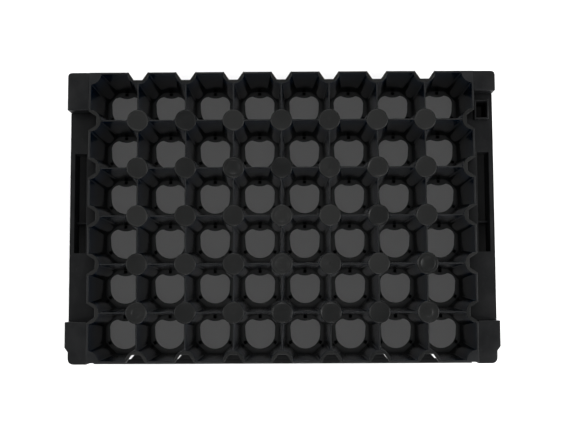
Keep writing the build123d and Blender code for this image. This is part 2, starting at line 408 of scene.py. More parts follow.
class Draw:
    """Outlines worked out from a few sizes."""

    @staticmethod
    def octagon(centre: Point, flat: float, facet: float) -> Outline:
        """Eight-sided outline with its flats on X and Y."""
        reach = facet * math.sqrt(2) - flat
        quarter = [(flat, -reach), (flat, reach), (reach, flat), (-reach, flat)]
        ring = quarter + [(-x, -y) for x, y in quarter]
        return [(centre[0] + x, centre[1] + y) for x, y in ring]

    @staticmethod
    def four_times(corner: Outline) -> Outline:
        """Repeats the points of one corner round the middle."""
        ring: Outline = []
        for _ in range(4):
            ring += corner
            corner = [(-y, x) for x, y in corner]
        return ring

    @staticmethod
    def arc(centre: Point, radius: float, start: float, end: float, steps: int) -> Outline:
        """Points along an arc, with the angles in degrees."""
        angles = [math.radians(start + (end - start) * i / steps) for i in range(steps + 1)]
        return [(centre[0] + radius * math.cos(a), centre[1] + radius * math.sin(a)) for a in angles]

    @staticmethod
    def rounded(
        outline: Outline, radius: float, steps: int = 4, closed: bool = True, limit: float = 0.45
    ) -> Outline:
        """Rounds the corners of an outline.

        Args:
            outline: the corners.
            radius: the rounding, shortened where a side is too short for it.
            steps: how many pieces each round corner has.
            closed: whether the last point joins the first.
            limit: the largest share of a side that one corner may take.

        Returns:
            Outline: the outline with its corners replaced by smooth curves.
        """
        result: Outline = []
        count = len(outline)
        for index, corner in enumerate(outline):
            if not closed and index in (0, count - 1):
                result.append(corner)
                continue
            here = Vector(corner)
            before = Vector(outline[index - 1])
            after = Vector(outline[(index + 1) % count])
            turn = (before - here).angle(after - here)
            cut = min(
                radius / max(math.tan(turn / 2), 1e-6),
                (before - here).length * limit,
                (after - here).length * limit,
            )
            start = here + (before - here).normalized() * cut
            end = here + (after - here).normalized() * cut
            for step in range(steps + 1):
                t = step / steps
                spot = start * (1 - t) ** 2 + here * (2 * t * (1 - t)) + end * t**2
                result.append((spot.x, spot.y))
        return result

    @staticmethod
    def cornered(outline: Outline, radii: Sequence[float], steps: int = 6) -> Outline:
        """Rounds the inner points of an open outline, each by its own radius."""
        result: Outline = [outline[0]]
        for index in range(1, len(outline) - 1):
            piece = Draw.rounded(outline[index - 1 : index + 2], radii[index - 1], steps, False, 0.75)
            result += piece[1:-1]
        return [*result, outline[-1]]

    @staticmethod
    def through(start: Point, middle: Point, end: Point, steps: int) -> Outline:
        """Points on the circle arc through three points.

        Args:
            start: the arc's first point.
            middle: a point on the arc.
            end: the arc's last point.
            steps: how many pieces the arc has.

        Returns:
            Outline: the points, both ends included.
        """
        (ax, ay), (bx, by), (cx, cy) = start, middle, end
        scale = 2 * (ax * (by - cy) + bx * (cy - ay) + cx * (ay - by))
        a2, b2, c2 = ax**2 + ay**2, bx**2 + by**2, cx**2 + cy**2
        ux = (a2 * (by - cy) + b2 * (cy - ay) + c2 * (ay - by)) / scale
        uy = (a2 * (cx - bx) + b2 * (ax - cx) + c2 * (bx - ax)) / scale
        radius = math.hypot(ax - ux, ay - uy)
        first = math.atan2(ay - uy, ax - ux)
        halfway = (math.atan2(by - uy, bx - ux) - first + math.pi) % math.tau - math.pi
        sweep = (math.atan2(cy - uy, cx - ux) - first) % math.tau
        if halfway < 0:
            sweep -= math.tau
        angles = [first + sweep * i / steps for i in range(steps + 1)]
        return [(ux + radius * math.cos(a), uy + radius * math.sin(a)) for a in angles]

    @staticmethod
    def strip(path: Outline, thickness: float) -> Outline:
        """Closes an open path into a strip, its thickness to the left of the way it runs.

        Args:
            path: the points that one face follows.
            thickness: the strip's thickness; a negative one goes to the right.

        Returns:
            Outline: the path and its mitred offset, one closed outline.
        """
        offset: Outline = []
        for index, here in enumerate(path):
            ways = []
            if index > 0:
                ways.append((Vector(here) - Vector(path[index - 1])).normalized())
            if index < len(path) - 1:
                ways.append((Vector(path[index + 1]) - Vector(here)).normalized())
            normals = [Vector((-way.y, way.x)) for way in ways]
            mitre = sum(normals, Vector((0.0, 0.0)))
            mitre = mitre / max(mitre.dot(normals[0]), 0.2)
            offset.append((here[0] + mitre.x * thickness, here[1] + mitre.y * thickness))
        return list(path) + offset[::-1]

    @staticmethod
    def box_of(x_span: Point, y_span: Point) -> Outline:
        """Rectangle over a span of X and a span of Y."""
        (x0, x1), (y0, y1) = x_span, y_span
        return [(x0, y0), (x1, y0), (x1, y1), (x0, y1)]


# ---------------------------------------------------------------------------------------------
# Materials
# ---------------------------------------------------------------------------------------------


class Signal:
    """A shader socket that takes part in Python arithmetic."""

    def __init__(self, tree: bpy.types.NodeTree, socket: bpy.types.NodeSocket) -> None:
        """Wraps one output socket of a node tree."""
        self.tree = tree
        self.socket = socket

    def _math(self, operation: str, first: object, second: object) -> "Signal":
        """Adds one Math node between two values."""
        node = self.tree.nodes.new("ShaderNodeMath")
        node.operation = operation
        for slot, value in zip(node.inputs, (first, second)):
            Signal.fill(self.tree, slot, value)
        return Signal(self.tree, node.outputs[0])

    @staticmethod
    def fill(tree: bpy.types.NodeTree, slot: bpy.types.NodeSocket, value: object) -> None:
        """Links a signal to a socket, or sets the socket to a plain value."""
        if isinstance(value, Signal):
            tree.links.new(value.socket, slot)
        else:
            slot.default_value = value

    def __add__(self, other: object) -> "Signal":
        """Sum of two signals."""
        return self._math("ADD", self, other)

    def __mul__(self, other: object) -> "Signal":
        """Product of two signals."""
        return self._math("MULTIPLY", self, other)

    __radd__ = __add__
    __rmul__ = __mul__


class Shader:
    """Builds one node material, node by node."""

    def __init__(self, name: str) -> None:
        """Starts a material with an empty tree."""
        self.material = bpy.data.materials.new(name)
        self.material.use_nodes = True
        self.tree = self.material.node_tree
        self.tree.nodes.clear()

    def node(
        self,
        kind: str,
        settings: dict[str, object],
        inputs: dict[str, object],
        output: str | int = 0,
    ) -> Signal:
        """Adds one node.

        Args:
            kind: Blender's name of the node type.
            settings: the node's own options; "stops" fills a colour ramp.
            inputs: values or signals for its sockets.
            output: which output to hand back.

        Returns:
            Signal: the chosen output.
        """
        made = self.tree.nodes.new(kind)
        for name, value in settings.items():
            if name == "stops":
                self._fill_ramp(made.color_ramp, value)
            else:
                setattr(made, name, value)
        for name, value in inputs.items():
            Signal.fill(self.tree, made.inputs[name], value)
        return Signal(self.tree, made.outputs[output])

    @staticmethod
    def _fill_ramp(ramp: bpy.types.ColorRamp, stops: Sequence[tuple[float, float]]) -> None:
        """Sets a grey ramp's stops from pairs of place and brightness."""
        while len(ramp.elements) > len(stops):
            ramp.elements.remove(ramp.elements[-1])
        while len(ramp.elements) < len(stops):
            ramp.elements.new(1.0)
        for element, (place, level) in zip(ramp.elements, stops):
            element.position = place
            element.color = (level, level, level, 1.0)

    def place(self) -> Signal:
        """Object coordinates of the surface."""
        return self.node("ShaderNodeTexCoord", {}, {}, "Object")

    def noise(self, scale: float, detail: float, roughness: float = 0.55) -> Signal:
        """Cloudy pattern with a value from nought to one."""
        return self.node(
            "ShaderNodeTexNoise",
            {"noise_dimensions": "3D"},
            {"Vector": self.place(), "Scale": scale, "Detail": detail, "Roughness": roughness},
            "Fac",
        )

    def ramp(self, value: Signal, *stops: tuple[float, float]) -> Signal:
        """Bends a value through a grey ramp."""
        return self.node("ShaderNodeValToRGB", {"stops": stops}, {"Fac": value}, "Color")

    def blend(self, factor: Signal, first: Sequence[float], second: object) -> Signal:
        """Mixes two colours by a factor."""
        made = self.tree.nodes.new("ShaderNodeMix")
        made.data_type = "RGBA"
        Signal.fill(self.tree, made.inputs[0], factor)
        for slot, value in ((made.inputs[6], first), (made.inputs[7], second)):
            Signal.fill(self.tree, slot, value if isinstance(value, Signal) else (*value, 1.0))
        return Signal(self.tree, made.outputs[2])

    def bump(self, height: Signal, distance: float, strength: float) -> Signal:
        """Turns a height into a bumped normal."""
        sockets = {"Height": height, "Distance": distance, "Strength": strength}
        return self.node("ShaderNodeBump", {}, sockets, "Normal")

    def surface(self, inputs: dict[str, object]) -> bpy.types.Material:
        """Ends the tree in a Principled surface.

        Args:
            inputs: values or signals for the surface's sockets.

        Returns:
            bpy.types.Material: the finished material.
        """
        skin = self.node("ShaderNodeBsdfPrincipled", {}, inputs, "BSDF")
        out = self.tree.nodes.new("ShaderNodeOutputMaterial")
        self.tree.links.new(skin.socket, out.inputs["Surface"])
        return self.material


@dataclass(frozen=True)
class MouldedPlastic:
    """Black injection-moulded plastic with flow clouding, fine grain and light scuffs."""

    name: str
    colour: tuple[float, float, float]
    clouded: tuple[float, float, float]
    roughness: float = 0.3
    grain: float = 0.03
    scuffs: float = 0.15
    varied_by_place: bool = False
    varied: tuple[float, float, float] = (0.008, 0.0082, 0.008)
    shine: float = 0.5
    cloud_scale: float = 38.0
    streak_scale: float = 420.0
    fine_scale: float = 2600.0
    soft_scale: float = 300.0
    scuff_colour: tuple[float, float, float] = (0.12, 0.12, 0.125)

    def material(self) -> bpy.types.Material:
        """Builds the node material.

        Returns:
            bpy.types.Material: the plastic.
        """
        shader = Shader(self.name)
        clouds = shader.ramp(shader.noise(self.cloud_scale, 4.0), (0.35, 0.0), (0.7, 1.0))
        base = shader.blend(clouds, self.colour, self.clouded)
        if self.varied_by_place:
            cell = shader.node(
                "ShaderNodeVectorMath",
                {"operation": "MULTIPLY_ADD"},
                {0: shader.place(), 1: (PER_PITCH,) * 3, 2: (0.5, 0.5, 0.0)},
                "Vector",
            )
            floored = shader.node("ShaderNodeVectorMath", {"operation": "FLOOR"}, {0: cell}, "Vector")
            flat = {"noise_dimensions": "2D"}
            chance = shader.node("ShaderNodeTexWhiteNoise", flat, {"Vector": floored}, "Value")
            base = shader.blend(chance, base, self.varied)
        streaks = shader.ramp(shader.noise(self.streak_scale, 2.0, 0.7), (0.62, 0.0), (0.74, 1.0))
        scuffed = shader.blend(streaks * self.scuffs, (0.0, 0.0, 0.0), self.scuff_colour)
        colour = shader.node("ShaderNodeVectorMath", {"operation": "ADD"}, {0: base, 1: scuffed}, "Vector")
        rough = self.roughness + clouds * 0.06 + streaks * 0.1
        grain = shader.noise(self.fine_scale, 2.0) * 0.4 + shader.noise(self.soft_scale, 3.0)
        return shader.surface(
            {
                "Base Color": colour,
                "Roughness": rough,
                "Normal": shader.bump(grain, self.grain * MM, 0.6),
                "IOR": 1.5,
                "Specular IOR Level": self.shine,
            }
        )


@dataclass(frozen=True)
class PaleFloor:
    """Plain pale studio floor."""

    name: str = "studio_floor"
    colour: tuple[float, float, float] = (0.86, 0.86, 0.86)
    shade: tuple[float, float, float] = (0.82, 0.82, 0.825)

    def material(self) -> bpy.types.Material:
        """Builds the node material."""
        shader = Shader(self.name)
        mottle = shader.noise(3.0, 3.0)
        return shader.surface(
            {"Base Color": shader.blend(mottle, self.colour, self.shade), "Roughness": 0.9}
        )


class Finish(Enum):
    """The tray's finishes; the cell-floor one carries painted reflection and the pit one painted shade."""

    CELL = MouldedPlastic(
        "cell_plastic", (0.0003, 0.0012, 0.0032), (0.0006, 0.002, 0.0042), 0.14, 0.002, 0.002, shine=0.045
    )
    # Cell-floor plastic: the same black plastic as the walls, its lighter base colour painted reflection of
    # the sky in the floor ring.
    FLOOR = MouldedPlastic(
        "floor_plastic_painted_sheen", (0.005, 0.0065, 0.0078), (0.0085, 0.0105, 0.012), 0.35, 0.01, 0.01, shine=0.32
    )
    # Pit plastic: near-black with no shine, painted shade at the bottom of each pit.
    PIT_SHADE = MouldedPlastic(
        "pit_painted_shade", (0.0001, 0.0002, 0.0003), (0.0002, 0.0003, 0.0004), 0.6, 0.01, 0.0, shine=0.0
    )
    DECK = MouldedPlastic(
        "deck_plastic", (0.004, 0.0044, 0.0048), (0.007, 0.0074, 0.008), 0.3, 0.02, 0.02, shine=0.14
    )
    CAP = MouldedPlastic(
        "cap_plastic", (0.0015, 0.0017, 0.0017), (0.0035, 0.0038, 0.0038), 0.3, 0.025, 0.05, True, shine=0.12
    )
    FLANGE = MouldedPlastic(
        "flange_plastic", (0.0025, 0.0027, 0.003), (0.005, 0.0052, 0.0055), 0.36, 0.03, 0.04, shine=0.1
    )


class Finishes:
    """Makes each finish once and dresses pieces in it."""

    def __init__(self) -> None:
        """Starts with no material made."""
        self.made: dict[Finish, bpy.types.Material] = {}

    def get(self, finish: Finish) -> bpy.types.Material:
        """The material of a finish, made when first asked for."""
        if finish not in self.made:
            self.made[finish] = finish.value.material()
        return self.made[finish]

    def dress(
        self, piece: bpy.types.Object, finish: Finish, slot: str, replaces: Sequence[str] = ()
    ) -> None:
        """Gives a piece one finish all over, then places it.

        Args:
            piece: the finished mesh.
            finish: which plastic it is.
            slot: not used.
            replaces: CAD nodes hidden by this piece.
        """
        piece.data.materials.clear()
        piece.data.materials.append(self.get(finish))
        self.place(piece, slot, replaces)

    @staticmethod
    def place(piece: bpy.types.Object, slot: str, replaces: Sequence[str] = ()) -> None:
        """Puts a dressed piece on its body and hides the CAD nodes that it stands for."""
        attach(piece, BODY)
        if replaces:
            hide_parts(*replaces)
        log.info("%s: %d faces", piece.name, len(piece.data.polygons))


# ---------------------------------------------------------------------------------------------
# Sub-assemblies
# ---------------------------------------------------------------------------------------------


@dataclass
class CellBank:
    """Tapering eight-sided cells, each with a drain hole and three small pits in its floor."""

    grid: TrayGrid
    finishes: Finishes
    floor_flat: float = 27.9 * MM
    wall: float = 1.5 * MM
    floor: float = 2.0 * MM
    corner_round: float = 1.6 * MM
    below_ridge: float = 0.4 * MM
    floor_round: float = 0.45 * MM
    pit_round: float = 0.1 * MM
    drain_radius: float = 21.6 * MM
    shoulder: Point = (22.1 * MM, 10.3 * MM)
    shoulder_middle: Point = (18.8 * MM, 17.6 * MM)
    dip_side: Point = (10.5 * MM, 21.4 * MM)
    dip_middle: float = 19.0 * MM
    pit_size: float = 4.2 * MM
    pit_radius: float = 25.3 * MM
    pit_angles: tuple[float, ...] = (90.0, 210.0, 330.0)
    pit_lap: float = 0.2 * MM
    pit_gap: float = 0.05 * MM
    pit_base: float = 0.5 * MM
    pieces: dict[str, bpy.types.Object] = field(default_factory=dict)

    def build(self) -> None:
        """Builds one cell, then copies it to every place of the grid."""
        # The pit sheets take painted shade, and the floor plate partly painted reflection of the sky.
        wall, floor, pits = self._wall(), self._floor(), self._pit_shade_sheets()
        for part, finish in ((wall, Finish.CELL), (floor, Finish.FLOOR), (pits, Finish.PIT_SHADE)):
            part.data.materials.append(self.finishes.get(finish))
        master = Workbench.join([wall, floor, pits], "cell_master")
        for row in range(1, self.grid.rows + 1):
            for column in range(1, self.grid.columns + 1):
                node = f"cell_r{row}c{column}"
                x, y = self.grid.cell_centre(row, column)
                self.pieces[node] = Workbench.copy(master, f"pocket_r{row}c{column}", Vector((x, y, 0)))
        Workbench.discard(master)

    def dress(self, finishes: Finishes) -> None:
        """Lets every cell stand for the plain one."""
        for node, piece in self.pieces.items():
            finishes.place(piece, "cell", [node])

    def _foot_ring(self, steps: int) -> Outline:
        """Eight-sided outline of the floor, with as many points as the mouth."""
        reach = self.floor_flat * math.tan(math.pi / 8)
        start, end = Vector((self.floor_flat, reach)), Vector((reach, self.floor_flat))
        return Draw.four_times([tuple(start.lerp(end, i / steps)) for i in range(steps + 1)])

    def _wall(self) -> bpy.types.Object:
        """Tapering wall from the eight-sided floor to the mouth."""
        grid = self.grid
        steps = 8
        foot = Workbench.loop("foot", self._foot_ring(steps), grid.foot + self.floor)
        mouth = Workbench.loop("mouth", grid.mouth(steps), grid.deck_top - self.below_ridge)
        wall = Workbench.join([foot, mouth], "cell_wall")
        Workbench.activate(wall)
        bpy.ops.object.mode_set(mode="EDIT")
        bpy.ops.mesh.select_all(action="SELECT")
        bpy.ops.mesh.bridge_edge_loops()
        bpy.ops.mesh.select_all(action="SELECT")
        bpy.ops.mesh.normals_make_consistent(inside=False)
        Workbench.clear_selection()
        sharp = math.radians(35)
        Workbench.modify(
            wall, "BEVEL", width=self.corner_round, segments=3, limit_method="ANGLE", angle_limit=sharp
        )
        Workbench.modify(wall, "SOLIDIFY", thickness=self.wall, offset=1.0, use_even_offset=True)
        Workbench.tidy(wall, 30.0)
        return wall

    def _pits(self, half: float) -> list[Outline]:
        """Square outlines at the places of the pits."""
        corners = [(-half, -half), (half, -half), (half, half), (-half, half)]
        outlines = []
        for angle in self.pit_angles:
            turn = math.radians(angle)
            across, along = math.cos(turn), math.sin(turn)
            x, y = self.pit_radius * across, self.pit_radius * along
            outlines.append([(x + u * across - v * along, y + u * along + v * across) for u, v in corners])
        return outlines

    def _floor(self) -> bpy.types.Object:
        """Floor plate with its drain hole and pits."""
        rim = self.floor_flat + self.wall
        outlines = [Draw.octagon((0, 0), rim, rim), self._drain(), *self._pits(self.pit_size / 2)]
        foot = self.grid.foot
        return Workbench.plate("cell_floor", outlines, foot, foot + self.floor, self.floor_round)

    def _pit_shade_sheets(self) -> bpy.types.Object:
        """Thin bases that close the pits, in a near-black finish with no shine: painted shade at the bottom
        of each pit.
        """
        outlines = self._pits(self.pit_size / 2 + self.pit_lap)
        base, top = self.grid.foot + self.pit_gap, self.grid.foot + self.pit_base
        return Workbench.plate("pit_shade_sheets", outlines, base, top, self.pit_round)

    def _drain(self) -> Outline:
        """Outline of the drain hole: half a circle, two shoulders and a shallow dip."""
        front = Draw.arc((0, 0), self.drain_radius, 180, 360, 24)
        right = Draw.through(self.shoulder, self.shoulder_middle, self.dip_side, 8)
        left = [(-x, y) for x, y in reversed(right)]
        dip = Draw.through(self.dip_side, (0, self.dip_middle), (-self.dip_side[0], self.dip_side[1]), 8)
        return front + right + dip[1:-1] + left


@dataclass
class Deck:
    """Ridged deck over the cells with notched long rims, nosed ends and raised lips on the rim nodes."""

    grid: TrayGrid
    notch_mouth: float = 13.5 * MM
    notch_foot: float = 6.0 * MM
    notch_depth: float = 11.0 * MM
    ridge_round: float = 0.4 * MM
    lip_round: float = 0.45 * MM
    lip_corner: float = 0.8 * MM
    lip_sink: float = 0.4 * MM
    pieces: list[bpy.types.Object] = field(default_factory=list)

    def build(self) -> None:
        """Builds the ridged plate and the lips."""
        grid = self.grid
        rows, columns = range(1, grid.rows + 1), range(1, grid.columns + 1)
        holes = [self._hole(row, column) for row in rows for column in columns]
        plate = Workbench.plate(
            "deck_ridges", [self.outline(), *holes], grid.deck_base, grid.deck_top, self.ridge_round
        )
        self.pieces = [plate, *self._lips()]

    def _hole(self, row: int, column: int) -> Outline:
        """Mouth of one cell."""
        centre_x, centre_y = self.grid.cell_centre(row, column)
        return [(centre_x + x, centre_y + y) for x, y in self.grid.mouth(12)]

    def dress(self, finishes: Finishes) -> None:
        """Gives the deck its plastic."""
        nodes = ["post_webs", "row_ridges", "column_ridges", "rim_lips"]
        finishes.dress(self.pieces[0], Finish.DECK, "deck", nodes)
        for piece in self.pieces[1:]:
            finishes.dress(piece, Finish.CAP, "caps")

    def recess(self, side: Side) -> Outline:
        """Notch or nose at one rim node, in edge coordinates."""
        face = -self.overhang(side)
        foot = face + self.notch_depth
        return [
            (-self.notch_mouth, face),
            (-self.notch_foot, foot),
            (self.notch_foot, foot),
            (self.notch_mouth, face),
        ]

    def overhang(self, side: Side) -> float:
        """How far the deck stands outside the node line of one side."""
        return self.grid.rim_overhang if side in (Side.FRONT, Side.BACK) else self.grid.ridge / 2

    def outline(self) -> Outline:
        """Outer outline of the deck, with a notch at every node of the long sides and a nose at the ends."""
        grid = self.grid
        path: Outline = []
        for side in (Side.FRONT, Side.RIGHT, Side.BACK, Side.LEFT):
            long_side = side in (Side.FRONT, Side.BACK)
            reach = grid.half_length if long_side else grid.half_width
            reach += grid.ridge / 2 if long_side else grid.rim_overhang
            level = (-grid.half_width if long_side else -grid.half_length) - self.overhang(side)
            path.append(side.turn(-reach, level))
            for spot in sorted(grid.edge_nodes(side), key=lambda spot: self._along(side, spot)):
                path += side.at(spot, self.recess(side))
        return Draw.rounded(path, RIM_ROUND, 3)

    @staticmethod
    def _along(side: Side, spot: Point) -> float:
        """How far along its side a point lies."""
        return {Side.FRONT: spot[0], Side.BACK: -spot[0], Side.LEFT: -spot[1], Side.RIGHT: spot[1]}[side]

    def _lip_arc(self, side: Side) -> Outline:
        """Cell-side edge of a lip, centred on the rim's edge, or on the node line at the ends."""
        radius = self.grid.cap_radius
        if side in (Side.FRONT, Side.BACK):
            return Draw.arc((0, -self.grid.rim_overhang), radius, 0, 180, 20)
        start = math.degrees(math.asin(self.overhang(side) / radius))
        return Draw.arc((0, 0), radius, -start, 180 + start, 20)

    def _lips(self) -> list[bpy.types.Object]:
        """Raised lips round the notches and noses, with the outline of a cap on the cell side."""
        grid = self.grid
        lips = []
        for side in Side:
            arc = self._lip_arc(side)
            shape = arc + self.recess(side)
            outline = Draw.rounded([side.turn(u, v) for u, v in shape], self.lip_corner, 2)
            base = grid.deck_top - self.lip_sink
            master = Workbench.plate("lip_master", [outline], base, grid.cap_top, self.lip_round)
            for index, (x, y) in enumerate(grid.edge_nodes(side), start=1):
                lips.append(Workbench.copy(master, f"half_cap_{side.value}_{index}", Vector((x, y, 0))))
            Workbench.discard(master)
        return lips


class CapFace(Enum):
    """Faces of the moulded post caps, as profiles from the rim inwards (radius and height, millimetres)."""

    PLAIN = ((12.6, -0.30), (0.0, -0.30))
    DISHED = ((12.4, -0.32), (9.0, -0.55), (5.0, -0.72), (2.0, -0.78), (1.6, -0.6), (0.0, -0.6))
    DOMED = ((12.6, -0.34), (9.0, -0.22), (5.0, -0.14), (0.0, -0.10))
    GATED = ((12.6, -0.30), (3.0, -0.30), (2.7, -0.45), (1.5, -0.45), (1.3, -0.12), (0.0, -0.12))
    RINGED = ((12.6, -0.34), (10.4, -0.34), (10.1, -0.12), (9.2, -0.12), (8.9, -0.34), (0.0, -0.34))
    SUNKEN = ((12.2, -0.50), (11.6, -0.75), (0.0, -0.80))
    EYED = ((12.4, -0.36), (6.2, -0.42), (5.8, -0.15), (4.6, -0.10), (0.0, -0.05))

    def profile(self) -> list[Point]:
        """Whole profile of a cap, from its foot over the rim to its middle."""
        rim = [(14.9, -2.6), (15.0, -1.1), (14.9, -0.7), (14.62, -0.36), (14.2, -0.12), (13.7, 0.0)]
        rim += [(13.3, -0.05), (13.0, -0.2)]
        return [(r * MM, z * MM) for r, z in rim + list(self.value)]


@dataclass
class PostCaps:
    """Round moulded caps on the inner nodes of the grid."""

    grid: TrayGrid
    steps: int = 48
    special: dict[tuple[int, int], CapFace] = field(
        default_factory=lambda: {
            (1, 5): CapFace.DISHED,
            (2, 3): CapFace.RINGED,
            (2, 5): CapFace.GATED,
            (2, 6): CapFace.SUNKEN,
            (3, 3): CapFace.DOMED,
            (3, 4): CapFace.RINGED,
            (3, 6): CapFace.SUNKEN,
            (4, 3): CapFace.DISHED,
            (4, 4): CapFace.RINGED,
            (4, 5): CapFace.GATED,
            (4, 7): CapFace.RINGED,
            (5, 1): CapFace.EYED,
            (5, 3): CapFace.DISHED,
            (5, 4): CapFace.SUNKEN,
            (5, 5): CapFace.SUNKEN,
            (5, 7): CapFace.EYED,
        }
    )
    pieces: list[bpy.types.Object] = field(default_factory=list)

    def build(self) -> None:
        """Turns one master of each face and copies it to its nodes."""
        masters = {face: self._turned(face) for face in CapFace}
        for row, column, x, y in self.grid.inner_nodes():
            face = self.special.get((row, column), CapFace.PLAIN)
            spot = Vector((x, y, self.grid.cap_top))
            self.pieces.append(Workbench.copy(masters[face], f"cap_r{row}c{column}", spot))
        for master in masters.values():
            Workbench.discard(master)

    def dress(self, finishes: Finishes) -> None:
        """Gives every cap its plastic; the first stands for the plain caps."""
        for index, piece in enumerate(self.pieces):
            finishes.dress(piece, Finish.CAP, "caps", [] if index else ["post_caps"])

    def _turned(self, face: CapFace) -> bpy.types.Object:
        """Spins a cap's profile round the upright axis."""
        Workbench.clear_selection()
        profile = face.profile()
        bpy.ops.mesh.primitive_plane_add(size=1.0)
        cap = bpy.context.view_layer.objects.active
        cap.name = f"cap_{face.name.lower()}"
        mesh = cap.data
        mesh.clear_geometry()
        mesh.from_pydata(
            [(r, 0.0, z) for r, z in profile], [(i, i + 1) for i in range(len(profile) - 1)], []
        )
        Workbench.activate(cap)
        bpy.ops.object.mode_set(mode="EDIT")
        bpy.ops.mesh.select_all(action="SELECT")
        bpy.ops.mesh.spin(steps=self.steps, angle=math.tau, center=(0, 0, 0), axis=(0, 0, 1))
        bpy.ops.object.mode_set(mode="OBJECT")
        Workbench.tidy(cap, 40.0)
        return cap


@dataclass
class TrayEnd:
    """One end: its nosed wall, flange, skirt, hand pocket and, on the right, the latch socket."""

    grid: TrayGrid
    deck: Deck
    side: Side
    block_back: float
    block_front: float = 58.0 * MM
    sheet: float = 2.5 * MM
    wall: float = 1.6 * MM
    skirt_foot: float = 52.5 * MM
    pocket_x: Point = (274.6 * MM, 291.0 * MM)
    pocket_y: Point = (-50.0 * MM, 90.0 * MM)
    pocket_floor: float = 55.0 * MM
    rib_y: float = -7.0 * MM
    rib_top: float = 70.0 * MM
    socket_x: Point = (273.5 * MM, 288.5 * MM)
    socket_y: Point = (138.0 * MM, 161.0 * MM)
    collar_rise: float = 8.0 * MM
    sheet_round: float = 0.5 * MM
    wall_round: float = 0.3 * MM
    skirt_round: float = 0.9 * MM
    collar_round: float = 0.7 * MM
    pocket_lap: float = 0.4 * MM
    pieces: dict[str, bpy.types.Object] = field(default_factory=dict)

    def build(self) -> None:
        """Builds the wall and the flange of this end."""
        self.pieces["end_wall_" + self.side.value] = self._end_wall()
        self.pieces["end_flange_" + self.side.value] = self._flange()

    def dress(self, finishes: Finishes) -> None:
        """Gives both pieces their plastic."""
        for node, piece in self.pieces.items():
            finishes.dress(piece, Finish.FLANGE, "flange", [node])

    def _mirrored(self, outline: Outline) -> Outline:
        """Moves an outline drawn on the right end to this end."""
        return outline if self.side is Side.RIGHT else [(-x, y) for x, y in outline]

    def _span(self) -> Point:
        """Where the flange starts and stops between its corner blocks."""
        return self.block_front - self.grid.block_front, self.grid.back_reach - self.block_back

    def _face_path(self, start: float, end: float) -> Outline:
        """The wall's outer face on the right end, with its noses."""
        x_face = self.grid.half_length + self.grid.ridge / 2
        path = [(x_face, start)]
        for spot in self.grid.edge_nodes(Side.RIGHT):
            path += Side.RIGHT.at(spot, self.deck.recess(Side.RIGHT))
        path.append((x_face, end))
        return path

    def _end_wall(self) -> bpy.types.Object:
        """Upright wall between the flange and the deck."""
        half = self.grid.half_width
        path = Draw.rounded(self._face_path(-half, half), RIM_ROUND, 3, closed=False)
        outline = self._mirrored(Draw.strip(path, self.wall))
        base, top = self.grid.flange_top - self.sheet, self.grid.deck_base
        return Workbench.plate(f"nosed_wall_{self.side.value}", [outline], base, top, self.wall_round)

    def _flange(self) -> bpy.types.Object:
        """Flange plate with everything that hangs from it."""
        grid = self.grid
        start, end = self._span()
        reach = grid.end_reach
        top, base = grid.flange_top, grid.flange_top - self.sheet
        edge = self._face_path(start, end)
        outlines = [[*edge, (reach, end), (reach, start)], Draw.box_of(self.pocket_x, self.pocket_y)]
        parts = []
        if self.side is Side.RIGHT:
            outlines.append(Draw.box_of(self.socket_x, self.socket_y))
            parts += self._socket()
        plate = [self._mirrored(outline) for outline in outlines]
        parts.append(Workbench.plate("flange_plate", plate, base, top, self.sheet_round))
        skirt = self._mirrored(Draw.box_of((reach - self.sheet, reach), (start, end)))
        parts.append(Workbench.plate("flange_skirt", [skirt], self.skirt_foot, top, self.skirt_round))
        parts.append(self._pocket(self.pocket_x, self.pocket_y, base))
        rib_span = (self.rib_y - self.sheet / 2, self.rib_y + self.sheet / 2)
        rib = self._mirrored(Draw.box_of(self.pocket_x, rib_span))
        parts.append(Workbench.plate("pocket_rib", [rib], self.pocket_floor, self.rib_top, self.sheet_round))
        return Workbench.join(parts, f"end_shelf_{self.side.value}")

    def _pocket(self, x_span: Point, y_span: Point, top: float) -> bpy.types.Object:
        """Sunk pocket, open at the top."""
        grown_x = (x_span[0] - self.sheet, x_span[1] + self.sheet)
        grown_y = (y_span[0] - self.sheet, y_span[1] + self.sheet)
        outline = self._mirrored(Draw.box_of(grown_x, grown_y))
        xs, ys = [x for x, _ in outline], [y for _, y in outline]
        low = Vector((min(xs), min(ys), self.pocket_floor - self.sheet))
        high = Vector((max(xs), max(ys), top + self.pocket_lap))
        return Workbench.shell_box("pocket", low, high, Vector((0, 0, 1)), self.sheet)

    def _socket(self) -> list[bpy.types.Object]:
        """Square latch socket in its raised collar."""
        outer = Draw.box_of(
            (self.socket_x[0] - self.sheet, self.socket_x[1] + self.sheet),
            (self.socket_y[0] - self.sheet, self.socket_y[1] + self.sheet),
        )
        inner = Draw.box_of(self.socket_x, self.socket_y)
        top = self.grid.flange_top
        base, rim = top - self.sheet, top + self.collar_rise
        collar = Workbench.plate("latch_collar", [outer, inner], base, rim, self.collar_round)
        return [collar, self._pocket(self.socket_x, self.socket_y, base)]


